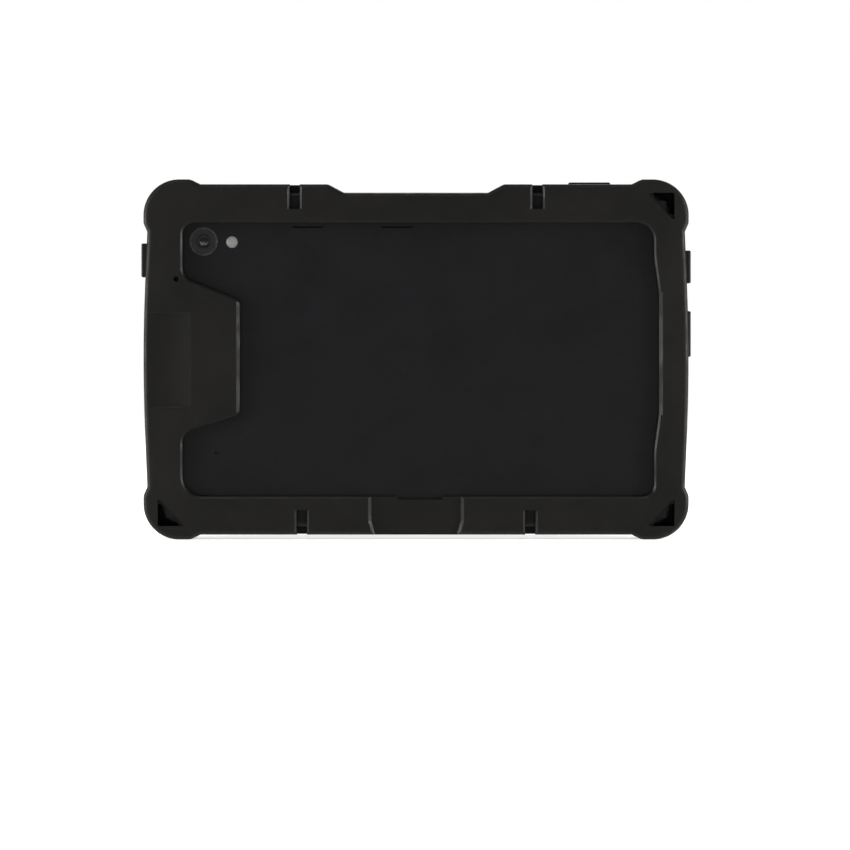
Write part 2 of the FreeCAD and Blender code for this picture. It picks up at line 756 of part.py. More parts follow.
def make_rear_cover():
    """Moulded rear cover: back, side walls, screw bosses and every opening."""
    shell = slab(rectangle(0, 0, tablet_width, tablet_height, tablet_radius), tablet_back, tablet_front)
    shell = shell.makeFillet(cover_round, edges_on_plane(shell, tablet_back))
    inner = rectangle(0, 0, 2 * in_x, 2 * in_z, tablet_radius - cover_wall)
    shell = shell.cut(slab(inner, inside_back, tablet_front + past))
    bosses = [rod_y(x, z, boss_radius, inside_back, plate_back) for x, z in screw_places()]
    shell = shell.fuse(bosses)
    through = (tablet_back - past, inside_back + past)
    cx, cz = camera_place
    ring = camera_glass_radius + camera_ring_width
    tools = [
        rod_y(cx, cz, camera_hole_radius, *through),
        rod_y(cx, cz, ring, through[0], tablet_back + camera_glass_thickness),
        rod_y(cx + flash_from_camera[0], cz + flash_from_camera[1], flash_radius, *through),
        rod_y(microphone_inset[0] - tab_x, microphone_inset[1] - tab_z, microphone_hole_radius, *through),
        dock_body(port_gap, -tab_z - past, -in_z + past),
        usb_outline(port_gap, -tab_x - past, -in_x + past),
        rod_x(port_y, audio_row, audio_bore + port_gap, -tab_x - past, -in_x + past),
        scan_opening(port_gap),
    ]
    lower, height, depth = vent_slot
    for x, length in vent_slots:
        vent = rectangle(x, window_z - lower, length, height, height / 3)
        tools.append(slab(vent, tablet_back - past, tablet_back + depth))
    for x, z in screw_places():
        tools.append(rod_y(x, z, screw_radius + screw_clearance, inside_back, plate_back + past))
    tools.extend(speaker_slots(-tab_z - past, -in_z + past))
    for name, (edge, along, length, reach) in KEYS.items():
        tools.append(place_key(button_window(length), edge, along))
    tools.append(place_key(rocker_pin(0.0), "right", volume_row))
    write("rear_cover", shell.cut(tools))


def make_mid_frame():
    """Metal plate with a rim, standoffs for the main board and clearance holes."""
    w = 2 * (in_x - frame_gap)
    h = 2 * (in_z - frame_gap)
    radius = tablet_radius - cover_wall - frame_gap
    frame = slab(rectangle(0, 0, w, h, radius), plate_back, rim_front)
    inner = rectangle(0, 0, w - 2 * frame_rim, h - 2 * frame_rim, radius - frame_rim)
    frame = frame.cut(slab(inner, plate_front, rim_front + past))
    frame = frame.fuse([rod_y(x, z, standoff_radius, plate_back - standoff_height, plate_back)
                        for x, z in board_screw_places()])
    tools = [rod_y(x, z, screw_radius + 2 * screw_clearance, plate_back - past, plate_front + past)
             for x, z in screw_places()]
    below = plate_back - standoff_height - past
    tools += [rod_y(x, z, screw_radius + screw_clearance, below, plate_front + past)
              for x, z in board_screw_places()]
    write("mid_frame", frame.cut(tools))
    tape = slab(rectangle(0, 0, w, h, radius), rim_front, glass_back)
    band = 2 * adhesive_width
    hole = rectangle(0, 0, w - band, h - band, radius - adhesive_width)
    write("display_adhesive", tape.cut(slab(hole, rim_front - past, glass_back + past)))


def make_screen():
    """Cover glass, display panel and backlight tray."""
    w = 2 * (in_x - glass_gap)
    h = 2 * (in_z - glass_gap)
    glass = slab(rectangle(0, 0, w, h, tablet_radius - cover_wall - glass_gap), glass_back, glass_front)
    write("front_glass", glass)
    tray_front = plate_front + lcd_tray_thickness
    lcd_width = tablet_width - 2 * lcd_inset[0]
    lcd_height = tablet_height - 2 * lcd_inset[1]
    place = rectangle(0, -lcd_lower, lcd_width, lcd_height, lcd_radius)
    write("backlight_tray", slab(place, plate_front, tray_front))
    write("display_panel", slab(place, tray_front, rim_front))
    inset, size, thickness = front_camera
    radius, lens_gap, body_gap = front_lens
    z = tab_z - inset
    body_back = glass_back - thickness
    body = block(-size / 2, size / 2, body_back, glass_back - body_gap, z - size / 2, z + size / 2)
    lens = rod_y(0, z, radius, body_back, glass_back - lens_gap)
    write("front_camera_module", body.fuse(lens).removeSplitter())


def make_frame_screws():
    """Screws through the mid frame into the rear cover's bosses."""
    screws = []
    for x, z in screw_places():
        shank = rod_y(x, z, screw_radius, plate_back - screw_length, plate_front)
        head = rod_y(x, z, screw_head_radius, plate_front, plate_front + screw_head_height)
        screws.append(shank.fuse(head).removeSplitter())
    write("frame_screws", Part.makeCompound(screws))


def board_edges():
    """Main board's left, right, lower and upper edges."""
    left, right, lower, upper = board_insets
    return left - tab_x, tab_x - right, tab_z - lower, tab_z - upper


def board_screw_places():
    """Screw places near the four corners of the main board."""
    x_from, x_to, z_from, z_to = board_edges()
    inset = standoff_inset
    return [(x, z) for x in (x_from + inset, x_to - inset) for z in (z_from + inset, z_to - inset)]


def make_main_board():
    """Main board with its shields and screws."""
    x_from, x_to, z_from, z_to = board_edges()
    front = plate_back - standoff_height
    back = front - board_thickness
    plate = block(x_from, x_to, back, front, z_from, z_to)
    holes = [rod_y(x, z, screw_radius + 2 * screw_clearance, back - past, front + past)
             for x, z in board_screw_places()]
    write("main_board", plate.cut(holes))
    w, h, thickness = shield_size
    middle = (z_from + z_to) / 2
    cans = [block(x - w / 2, x + w / 2, back - thickness, back, middle - h / 2, middle + h / 2)
            for x in shield_columns]
    write("board_shields", Part.makeCompound(cans))
    screws = []
    for x, z in board_screw_places():
        shank = rod_y(x, z, screw_radius, back, plate_front)
        head = rod_y(x, z, screw_head_radius, back - screw_head_height, back)
        screws.append(shank.fuse(head).removeSplitter())
    write("board_screws", Part.makeCompound(screws))


def make_power_and_radio():
    """Side board, battery, near-field coil, vibration motor and the two radio antennas."""
    x_from = io_board_insets[0] - tab_x
    x_to = io_board_insets[1] - tab_x
    high = board_edges()[2] + standoff_inset - io_board_drop
    back = plate_back - board_thickness
    write("io_board", block(x_from, x_to, back, plate_back, io_board_low, high))
    left, right, bottom, top = battery_insets
    w = tablet_width - left - right
    h = tablet_height - bottom - top
    place = rectangle((left - right) / 2, (bottom - top) / 2, w, h, battery_radius)
    write("battery_pack", slab(place, plate_back - battery_thickness, plate_back))
    w, h, band, thickness = nfc_coil
    coil = slab(rectangle(0, 0, w, h, band), inside_back, inside_back + thickness)
    inner = rectangle(0, 0, w - 2 * band, h - 2 * band, band / 2)
    write("nfc_antenna", coil.cut(slab(inner, inside_back - past, inside_back + past)))
    radius, thickness = motor_size
    x = motor_inset[0] - tab_x
    z = motor_inset[1] - tab_z
    write("vibration_motor", rod_y(x, z, radius, plate_back - thickness, plate_back))
    w, thickness, h = antenna_size
    row = tab_z - antenna_inset[1]
    for side, name in ((-1, "left"), (1, "right")):
        x = side * (tab_x - antenna_inset[0])
        strip = centred(x, inside_back + thickness / 2, row, w, thickness, h)
        write(f"radio_antenna_{name}", strip)


def make_rear_camera():
    """Camera window, its ring and module, flash lens and lamp, and the rear microphone."""
    cx, cz = camera_place
    seat = tablet_back + camera_glass_thickness
    write("rear_camera_window", rod_y(cx, cz, camera_glass_radius, tablet_back, seat))
    ring = rod_y(cx, cz, camera_glass_radius + camera_ring_width, tablet_back - camera_ring_proud, seat)
    ring = ring.cut(rod_y(cx, cz, camera_glass_radius, tablet_back - past, seat + past))
    write("rear_camera_ring", ring)
    half = camera_module / 2
    body = block(cx - half, cx + half, inside_back, plate_back, cz - half, cz + half)
    barrel = rod_y(cx, cz, camera_barrel_radius, seat, inside_back)
    write("rear_camera_module", body.fuse(barrel).removeSplitter())
    fx = cx + flash_from_camera[0]
    fz = cz + flash_from_camera[1]
    write("flash_lens", rod_y(fx, fz, flash_radius, tablet_back, inside_back))
    size, thickness = flash_led
    write("flash_lamp", centred(fx, inside_back + thickness / 2, fz, size, thickness, size))
    mx = microphone_inset[0] - tab_x
    mz = microphone_inset[1] - tab_z
    size, thickness = microphone_body
    write("rear_microphone", centred(mx, inside_back + thickness / 2, mz, size, thickness, size))


def make_scanner_and_speakers():
    """Scan window and engine in the top edge, and the two speakers in the bottom edge."""
    write("scan_window", scan_opening(0.0))
    w, depth, h = scan_engine_size
    write("scan_engine", centred(0, plate_back - depth / 2, in_z - h / 2, w, depth, h))
    w, depth, h = speaker_size
    for side, name in ((-1, "left"), (1, "right")):
        x = side * (tab_x - speaker_inset)
        write(f"speaker_{name}", centred(x, plate_back - depth / 2, h / 2 - in_z, w, depth, h))


def usb_outline(gap, x_from, x_to):
    """Rounded outline of the USB socket, extruded along X."""
    width = usb_shell[0] + 2 * gap
    depth = usb_shell[1] + 2 * gap
    body = centred((x_from + x_to) / 2, port_y, 0, x_to - x_from, depth, width)
    return body.makeFillet(depth * usb_roundness, [e for e in body.Edges if e.BoundBox.XLength > past])


def dock_body(gap, z_from, z_to):
    """Dock connector's block, or with a gap the opening that it sits in."""
    w = dock_block[0] / 2 + gap
    d = dock_block[1] / 2 + gap
    return block(-w, w, port_y - d, port_y + d, z_from, z_to)


def make_ports():
    """USB socket, audio socket and dock connector with its contacts."""
    end = -tab_x + usb_shell[2]
    shell = usb_outline(0.0, -tab_x, end).cut(usb_outline(-usb_wall, -tab_x - past, end - usb_wall))
    width, thickness, length = usb_tongue
    tongue = centred(end - length / 2, port_y, 0, length, thickness, width)
    write("usb_c_socket", shell.fuse(tongue).removeSplitter())
    width, depth, length = audio_body
    jack = centred(length / 2 - in_x, port_y, audio_row, length, depth, width)
    nose = rod_x(port_y, audio_row, audio_bore, -tab_x, -in_x)
    bore = rod_x(port_y, audio_row, audio_bore - usb_wall, -tab_x - past, -in_x + length - past)
    write("audio_socket", jack.fuse(nose).removeSplitter().cut(bore))
    body = dock_body(0.0, -tab_z, -tab_z + dock_block[2])
    width, tall, thickness = dock_contact
    pads = []
    for i in range(dock_contacts):
        x = (i - (dock_contacts - 1) / 2) * dock_contact_pitch
        pads.append(centred(x, port_y, thickness / 2 - tab_z, width, tall, thickness))
    write("dock_connector", body.cut(pads))
    write("dock_contacts", Part.makeCompound(pads))


# ---- Keys, written out -----------------------------------------------------------------------
def rocker_pin(clearance):
    """Pin across the volume button, inside the tablet's side wall."""
    height = -cover_wall / 2
    radius = rocker_pin_radius + clearance
    return Part.makeCylinder(radius, rocker_pin_length, V(0, -rocker_pin_length / 2, height), V(0, 1, 0))


def make_keys():
    """Caps, buttons, rocker pin and the switches behind them."""
    switches = []
    for name, (edge, along, length, reach) in KEYS.items():
        room = rooms(name)[1]
        button = key_button(length, room)
        if name == "volume":
            button = button.cut(rocker_pin(rocker_pin_fit))
            spots = (-rocker_switch_spacing / 2, rocker_switch_spacing / 2)
        else:
            spots = (0.0,)
        write(f"{name}_key_cap", place_key(key_cap(name, length, reach), edge, along))
        write(f"{name}_button", place_key(button, edge, along))
        switches.extend(place_key(key_switch(room, at), edge, along) for at in spots)
    write("volume_rocker_pin", place_key(rocker_pin(0.0), "right", volume_row))
    write("key_switches", Part.makeCompound(switches))


os.makedirs("parts", exist_ok=True)
make_boot()
make_rear_cover()
make_mid_frame()
make_screen()
make_frame_screws()
make_main_board()
make_power_and_radio()
make_rear_camera()
make_scanner_and_speakers()
make_ports()
make_keys()
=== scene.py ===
"""Looks of a rugged field tablet in its moulded boot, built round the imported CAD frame."""

import json
import math

import bmesh
import bpy
from mathutils import Matrix, Vector


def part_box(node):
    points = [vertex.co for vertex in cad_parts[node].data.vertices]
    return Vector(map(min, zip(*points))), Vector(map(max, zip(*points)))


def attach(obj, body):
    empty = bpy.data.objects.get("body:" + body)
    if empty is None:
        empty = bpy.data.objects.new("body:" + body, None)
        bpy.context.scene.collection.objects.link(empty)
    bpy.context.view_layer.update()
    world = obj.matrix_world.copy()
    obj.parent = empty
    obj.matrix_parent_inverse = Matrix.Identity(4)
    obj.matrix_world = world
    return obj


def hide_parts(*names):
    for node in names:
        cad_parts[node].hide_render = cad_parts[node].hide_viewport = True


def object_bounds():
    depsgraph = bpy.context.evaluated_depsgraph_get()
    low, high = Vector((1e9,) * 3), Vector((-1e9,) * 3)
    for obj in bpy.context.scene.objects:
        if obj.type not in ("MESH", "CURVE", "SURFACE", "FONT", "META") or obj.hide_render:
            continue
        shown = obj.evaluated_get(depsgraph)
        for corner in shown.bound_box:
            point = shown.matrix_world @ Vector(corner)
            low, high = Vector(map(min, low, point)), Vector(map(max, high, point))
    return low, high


MM = 0.001

# ---- Looks: colours are linear -----------------------------------------------------------------
RUBBER_DARK = (0.0032, 0.0030, 0.0026)
RUBBER_LIGHT = (0.0058, 0.0054, 0.0047)
RUBBER_WORN = (0.0070, 0.0067, 0.0061)
COVER_DARK = (0.0032, 0.0028, 0.0034)
COVER_LIGHT = (0.0048, 0.0042, 0.0050)
COVER_WORN = (0.0085, 0.0080, 0.0088)
SIGN_PAINT = (0.30, 0.30, 0.29)
GLASS_BORDER = (0.0016, 0.0016, 0.0018)
GLASS_ACTIVE = (0.0095, 0.0105, 0.0130)
FLOOR_DARK = (0.86, 0.86, 0.85)
FLOOR_LIGHT = (0.90, 0.90, 0.89)
FLOOR_GLOW = 0.62            # backlit paper, so that it stays pale far from the lamps
# Painted shade for the floors of the vent slots in the cover's back, patterned like a fine mesh
VENT_SHADE_DARK = (0.0004, 0.0004, 0.0004)
VENT_SHADE_LIGHT = (0.0012, 0.0012, 0.0012)

# ---- Sizes in millimetres that the looks share with the CAD ---------------------------------------
SIGN_DEPTH = 0.3             # of the signs sunk into the key caps
VENT_DEPTH = 1.2             # of the slots in the cover's back
TONGUE_HALF = 0.35           # half thickness of the USB socket's tongue

# Outer face of each key cap: its axis, and 0 for the box's low end or 1 for its high end.
KEY_FACES = {
    "power_key_cap": (2, 1),
    "left_trigger_key_cap": (0, 0),
    "right_trigger_key_cap": (0, 1),
    "volume_key_cap": (0, 1),
}

# ---- Camera --------------------------------------------------------------------------------------
LENS_MM = 100.0
SENSOR_MM = 36.0
FRAME_WIDTH = 0.425          # metres across the picture at the object
SHIFT = (0.0105, -0.0771)    # the object sits left of and above the picture's middle

# ---- Studio --------------------------------------------------------------------------------------
FLOOR_RADIUS = 30.0
PANELS = (                   # name, place, size and watts
    ("panel_left", (-0.88, -0.20, 0.14), (0.30, 0.6), 13.0),
    ("panel_right", (0.88, -0.20, 0.14), (0.30, 0.6), 13.0),
    ("panel_front", (0.35, 1.3, 0.9), (1.2, 0.7), 8.0),
)
SUN_FROM = (-0.15, -0.35, 0.92)
SUN_STRENGTH = 1.2
SUN_ANGLE = 35.0             # degrees across, for soft shadows
FILL_STRENGTH = 0.10         # of the surroundings as a light; seen directly they are white

# ---- Turned details: radius and height in millimetres --------------------------------------------
BARREL = ((0, -0.1), (3.6, -0.1), (3.6, 0.72), (3.5, 0.79), (3.15, 0.79), (3.05, 0.70), (3.05, 0.52),
          (2.65, 0.46), (2.65, 0.28), (2.25, 0.22), (2.25, 0.06), (0, 0.06))
FRONT_TRIM = ((1.7, -0.2), (2.1, -0.2), (2.1, 0.02), (2.03, 0.05), (1.77, 0.05), (1.7, 0.02))
SENSOR_WINDOW = ((0, -0.2), (0.9, -0.2), (0.9, 0.0), (0.82, 0.02), (0, 0.02))
SENSOR_ASIDE = 9.0           # from the front camera to the sensor window
AUDIO_RING = ((1.46, -0.6), (1.5, -0.6), (1.55, 0.0), (1.76, 0.0), (1.78, 0.03), (1.7, 0.08),
              (1.5, 0.08), (1.42, 0.0))

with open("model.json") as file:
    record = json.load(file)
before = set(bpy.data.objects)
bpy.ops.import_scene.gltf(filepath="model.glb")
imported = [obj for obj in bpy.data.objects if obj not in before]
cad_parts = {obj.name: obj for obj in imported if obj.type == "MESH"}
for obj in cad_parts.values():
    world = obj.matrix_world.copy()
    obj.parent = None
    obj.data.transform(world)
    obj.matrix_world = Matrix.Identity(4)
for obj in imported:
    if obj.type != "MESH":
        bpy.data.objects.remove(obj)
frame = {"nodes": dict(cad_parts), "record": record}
cad_low, cad_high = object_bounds()
middle = (cad_low + cad_high) / 2


def middle_of(node):
    """Middle of a node's box."""
    low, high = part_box(node)
    return (low + high) / 2


# ---- Material trees ------------------------------------------------------------------------------
class Tree:
    """A material's node tree, with short calls for the nodes used here."""

    def __init__(self, name):
        self.name = name
        self.material = bpy.data.materials.new(name)
        self.material.use_nodes = True
        self.nodes = self.material.node_tree.nodes
        self.links = self.material.node_tree.links
        self.shader = self.nodes["Principled BSDF"]
        self.place = self.nodes.new("ShaderNodeTexCoord").outputs["Object"]
        self.normal = self.nodes.new("ShaderNodeNewGeometry").outputs["Normal"]

    def fix(self, **values):
        """Set sockets that are the same all over the surface."""
        for name, value in values.items():
            self.shader.inputs[name.replace("_", " ")].default_value = value

    def feed(self, name, source):
        self.links.new(source, self.shader.inputs[name])

    def plug(self, socket, value):
        """Give a socket a plain value or another node's output."""
        if isinstance(value, bpy.types.NodeSocket):
            self.links.new(value, socket)
        else:
            socket.default_value = value

    def math(self, operation, a, b=0.0, clamp=False):
        node = self.nodes.new("ShaderNodeMath")
        node.operation = operation
        node.use_clamp = clamp
        self.plug(node.inputs[0], a)
        self.plug(node.inputs[1], b)
        return node.outputs[0]

    def axes(self, source):
        node = self.nodes.new("ShaderNodeSeparateXYZ")
        self.links.new(source, node.inputs[0])
        return node.outputs

    def stretched(self, scale):
        node = self.nodes.new("ShaderNodeVectorMath")
        node.operation = "MULTIPLY"
        self.links.new(self.place, node.inputs[0])
        node.inputs[1].default_value = scale
        return node.outputs[0]

    def noise(self, size_mm, detail=2.0, place=None):
        """Noise whose features are about size_mm across."""
        node = self.nodes.new("ShaderNodeTexNoise")
        node.inputs["Scale"].default_value = 1 / (size_mm * MM)
        node.inputs["Detail"].default_value = detail
        self.links.new(place or self.place, node.inputs["Vector"])
        return node.outputs[0]

    def cells(self, size_mm):
        """Distance to the middle of the nearest cell."""
        node = self.nodes.new("ShaderNodeTexVoronoi")
        node.feature = "SMOOTH_F1"
        node.inputs["Scale"].default_value = 1 / (size_mm * MM)
        self.links.new(self.place, node.inputs["Vector"])
        return node.outputs["Distance"]

    def span(self, source, low, high, to_low=0.0, to_high=1.0):
        """Map low..high to to_low..to_high, held at the ends."""
        node = self.nodes.new("ShaderNodeMapRange")
        self.plug(node.inputs["Value"], source)
        node.inputs["From Min"].default_value = low
        node.inputs["From Max"].default_value = high
        node.inputs["To Min"].default_value = to_low
        node.inputs["To Max"].default_value = to_high
        return node.outputs[0]

    def band(self, source, centre, half=0.10, soft=0.02):
        """1 where the source lies within half of the centre, with soft ends."""
        rise = self.span(source, centre - half - soft, centre - half + soft)
        fall = self.span(source, centre + half - soft, centre + half + soft, 1.0, 0.0)
        return self.math("MULTIPLY", rise, fall)

    def blend(self, factor, a, b):
        """Mix two colours."""
        node = self.nodes.new("ShaderNodeMix")
        node.data_type = "RGBA"
        sockets = {s.identifier: s for s in node.inputs}
        self.plug(sockets["Factor_Float"], factor)
        self.plug(sockets["A_Color"], (*a, 1.0) if isinstance(a, tuple) else a)
        self.plug(sockets["B_Color"], (*b, 1.0) if isinstance(b, tuple) else b)
        return [s for s in node.outputs if s.identifier == "Result_Color"][0]

    def paint(self, mask, colour):
        """Cover the base colour with another one where the mask is 1."""
        under = self.shader.inputs["Base Color"].links[0].from_socket
        self.feed("Base Color", self.blend(mask, under, colour))

    def bump(self, height, depth_mm, normal=None):
        node = self.nodes.new("ShaderNodeBump")
        node.inputs["Distance"].default_value = depth_mm * MM
        self.links.new(height, node.inputs["Height"])
        if normal:
            self.links.new(normal, node.inputs["Normal"])
        return node.outputs[0]

    def rounded_edges(self, radius_mm):
        node = self.nodes.new("ShaderNodeBevel")
        node.samples = 6
        node.inputs["Radius"].default_value = radius_mm * MM
        return node.outputs[0]

    def turned_edges(self):
        """1 on the rounded and bevelled edges between the back or front and the sides, 0 on flats."""
        facing = self.math("ABSOLUTE", self.axes(self.normal)[1])
        slope = self.math("MULTIPLY", facing, self.math("SUBTRACT", 1.0, facing))
        return self.math("MULTIPLY", slope, 4.0, clamp=True)


def moulded(name, dark, light, worn, grain_mm, grain_depth, roughness, specular):
    """Moulded rubber or plastic: spark-eroded grain, mottling, and edges rubbed a little smoother."""
    t = Tree(name)
    t.fix(Specular_IOR_Level=specular)
    mottle = t.span(t.noise(23.0, 4.0), 0.3, 0.7)
    patches = t.span(t.noise(6.0, 3.0), 0.35, 0.65)
    rubbed = t.math("MULTIPLY", t.turned_edges(), t.span(t.noise(9.0, 5.0), 0.38, 0.62, 0.35, 1.0))
    t.feed("Base Color", t.blend(rubbed, t.blend(mottle, dark, light), worn))
    low, high = roughness
    base = t.span(t.math("ADD", mottle, patches), 0.0, 2.0, low, high)
    t.feed("Roughness", t.math("SUBTRACT", base, t.math("MULTIPLY", rubbed, 0.28)))
    soft = t.bump(t.noise(7.0, 1.0), 0.05)
    grain = t.bump(t.cells(grain_mm * 2.2), grain_depth, soft)
    t.feed("Normal", t.bump(t.noise(grain_mm, 2.0), grain_depth, grain))
    return t


def cover_plastic():
    """Rear cover's plastic, with painted shade on the floors of the vent slots in its back, patterned like
    a fine mesh.
    """
    t = moulded("cover_plastic", COVER_DARK, COVER_LIGHT, COVER_WORN, 0.30, 0.03, (0.48, 0.58), 0.13)
    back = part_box("rear_cover")[0].y
    below = t.math("MULTIPLY", t.math("SUBTRACT", t.axes(t.place)[1], back), 1 / MM)
    backward = t.span(t.axes(t.normal)[1], -0.8, -0.7, 1.0, 0.0)
    # Painted shade: the floors of the vent slots are darkened in a mesh-like pattern, where shade falls
    # deep in the slots
    floor = t.math("MULTIPLY", t.band(below, VENT_DEPTH), backward)
    shade_pattern = t.span(t.cells(0.35), 0.25, 0.45)
    t.paint(floor, t.blend(shade_pattern, VENT_SHADE_DARK, VENT_SHADE_LIGHT))
    return t


def key_rubber(name, axis, face):
    """Key cap rubber, with paint in the sign that is sunk into the face at that level of the axis."""
    t = moulded(name, RUBBER_DARK, RUBBER_LIGHT, RUBBER_WORN, 0.30, 0.02, (0.44, 0.58), 0.17)
    side = 1.0 if face > middle[axis] else -1.0
    below = t.math("MULTIPLY", t.math("SUBTRACT", face, t.axes(t.place)[axis]), side / MM)
    outward = t.span(t.math("MULTIPLY", t.axes(t.normal)[axis], side), 0.7, 0.8)
    t.paint(t.math("MULTIPLY", t.band(below, SIGN_DEPTH), outward), SIGN_PAINT)
    return t


def screen_glass():
    """Black-bordered cover glass over a display that is off, with faint wiping marks."""
    t = Tree("screen_glass")
    low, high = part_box("display_panel")
    x, _, z = t.axes(t.place)
    centre = middle_of("display_panel")
    half = (high - low) / 2
    soft = 0.3 * MM
    from_centre_x = t.math("ABSOLUTE", t.math("SUBTRACT", x, centre.x))
    from_centre_z = t.math("ABSOLUTE", t.math("SUBTRACT", z, centre.z))
    across = t.span(from_centre_x, half.x - soft, half.x, 1.0, 0.0)
    up = t.span(from_centre_z, half.z - soft, half.z, 1.0, 0.0)
    t.feed("Base Color", t.blend(t.math("MULTIPLY", across, up), GLASS_BORDER, GLASS_ACTIVE))
    wiped = t.noise(14.0, 6.0, t.stretched((1.0, 1.0, 0.35)))
    t.feed("Roughness", t.span(wiped, 0.35, 0.75, 0.045, 0.13))
    t.feed("Normal", t.bump(t.noise(60.0, 1.0), 0.04))
    t.fix(IOR=1.5, Specular_IOR_Level=0.22)
    return t


def clear_glass(name, tint):
    """Thin polished window."""
    t = Tree(name)
    t.fix(IOR=1.5, Transmission_Weight=1.0)
    t.feed("Base Color", t.blend(t.noise(3.0), tint, tuple(0.97 * c for c in tint)))
    t.feed("Roughness", t.span(t.noise(2.0, 4.0), 0.4, 0.8, 0.0, 0.03))
    return t


def polished(name, dark, light, roughness, metallic=0.0, specular=0.5, coat=0.0, size_mm=2.0):
    """Smooth lacquer, glass or plated metal with faint colour and gloss changes."""
    t = Tree(name)
    t.fix(Metallic=metallic, Specular_IOR_Level=specular, Coat_Weight=coat)
    cloud = t.span(t.noise(size_mm, 4.0), 0.35, 0.65)
    t.feed("Base Color", t.blend(cloud, dark, light))
    t.feed("Roughness", t.span(cloud, 0.0, 1.0, *roughness))
    t.feed("Normal", t.bump(t.noise(size_mm / 4, 2.0), 0.01, t.rounded_edges(0.12)))
    return t


def brushed(name, dark, light, roughness, along):
    """Metal with fine lines along one axis."""
    t = Tree(name)
    t.fix(Metallic=1.0)
    scale = [9.0, 9.0, 9.0]
    scale[along] = 0.4
    lines = t.noise(2.5, 5.0, t.stretched(tuple(scale)))
    t.feed("Base Color", t.blend(lines, dark, light))
    t.feed("Roughness", t.span(lines, 0.3, 0.7, *roughness))
    t.feed("Normal", t.bump(lines, 0.01, t.rounded_edges(0.1)))
    return t


def flash_diffuser():
    """Frosted lens with fine rings about the lamp, and a painted glow: lighter in the middle over the lamp,
    darker towards the rim.
    """
    t = Tree("flash_diffuser")
    centre = middle_of("flash_lens")
    x, _, z = t.axes(t.place)
    dx = t.math("SUBTRACT", x, centre.x)
    dz = t.math("SUBTRACT", z, centre.z)
    radius = t.math("SQRT", t.math("ADD", t.math("MULTIPLY", dx, dx), t.math("MULTIPLY", dz, dz)))
    rings = t.math("SINE", t.math("MULTIPLY", radius, 2 * math.pi / (0.45 * MM)))
    # Painted glow: the lens is lighter in the middle over the lamp and darker towards its rim
    painted_glow_fade = t.span(radius, 0.9 * MM, 2.9 * MM)
    t.feed("Base Color", t.blend(painted_glow_fade, (0.19, 0.185, 0.17), (0.11, 0.11, 0.11)))
    t.feed("Roughness", t.span(t.noise(0.8, 3.0), 0.3, 0.7, 0.22, 0.38))
    t.feed("Normal", t.bump(rings, 0.03))
    t.fix(Coat_Weight=0.3, Subsurface_Weight=0.15, Subsurface_Scale=1.5 * MM)
    return t


def laminate():
    """Circuit board: green solder mask with paler tracks."""
    t = Tree("board_laminate")
    node = t.nodes.new("ShaderNodeTexBrick")
    node.inputs["Scale"].default_value = 1 / (4.0 * MM)
    node.inputs["Mortar Size"].default_value = 0.04
    t.links.new(t.place, node.inputs["Vector"])
    tracks = node.outputs["Fac"]
    t.feed("Base Color", t.blend(tracks, (0.008, 0.055, 0.025), (0.02, 0.13, 0.06)))
    t.feed("Roughness", t.span(t.noise(5.0, 3.0), 0.3, 0.7, 0.3, 0.45))
    t.feed("Normal", t.bump(tracks, 0.03))
    return t


def floor_paper():
    """Pale seamless paper."""
    t = Tree("floor_paper")
    t.feed("Base Color", t.blend(t.span(t.noise(900.0, 2.0), 0.3, 0.7), FLOOR_DARK, FLOOR_LIGHT))
    t.feed("Roughness", t.span(t.noise(40.0, 3.0), 0.3, 0.7, 0.75, 0.9))
    t.feed("Normal", t.bump(t.noise(1.2, 2.0), 0.02))
    t.fix(Specular_IOR_Level=0.1, Emission_Color=(1.0, 1.0, 1.0, 1.0), Emission_Strength=FLOOR_GLOW)
    return t


# Looks that differ only in their values, by name. Most names are slots in the record.
POLISHED = {
    "display": dict(dark=(0.004, 0.004, 0.006), light=(0.008, 0.008, 0.011), roughness=(0.2, 0.3)),
    "battery_wrap": dict(dark=(0.02, 0.02, 0.024), light=(0.035, 0.035, 0.04), roughness=(0.25, 0.4),
                         coat=0.2, size_mm=12.0),
    "camera_trim": dict(dark=(0.010, 0.010, 0.011), light=(0.018, 0.018, 0.019), roughness=(0.24, 0.34)),
    "lamp_phosphor": dict(dark=(0.7, 0.55, 0.12), light=(0.8, 0.66, 0.2), roughness=(0.4, 0.6)),
    "scan_glass": dict(dark=(0.018, 0.001, 0.002), light=(0.030, 0.002, 0.003), roughness=(0.04, 0.08),
                       coat=0.5),
    "lens_coating": dict(dark=(0.010, 0.006, 0.016), light=(0.016, 0.009, 0.012), roughness=(0.02, 0.04),
                         coat=1.0),
    "window_print": dict(dark=(0.010, 0.009, 0.009), light=(0.016, 0.015, 0.014), roughness=(0.3, 0.45)),
    "front_lens_coating": dict(dark=(0.012, 0.008, 0.022), light=(0.006, 0.006, 0.012),
                               roughness=(0.02, 0.05), coat=1.0, size_mm=1.5),
    "sensor_window": dict(dark=(0.010, 0.004, 0.012), light=(0.018, 0.008, 0.02), roughness=(0.1, 0.2),
                          coat=0.6),
}
BRUSHED = {
    "frame_metal": dict(dark=(0.35, 0.35, 0.36), light=(0.48, 0.48, 0.49), roughness=(0.35, 0.5), along=0),
    "steel": dict(dark=(0.42, 0.42, 0.42), light=(0.58, 0.58, 0.57), roughness=(0.22, 0.36), along=0),
    "antenna_film": dict(dark=(0.50, 0.24, 0.12), light=(0.66, 0.36, 0.2), roughness=(0.25, 0.4), along=2),
    "motor_can": dict(dark=(0.36, 0.36, 0.36), light=(0.5, 0.5, 0.5), roughness=(0.25, 0.4), along=1),
    "contact_gold": dict(dark=(0.72, 0.46, 0.14), light=(0.88, 0.62, 0.25), roughness=(0.18, 0.3), along=1),
}
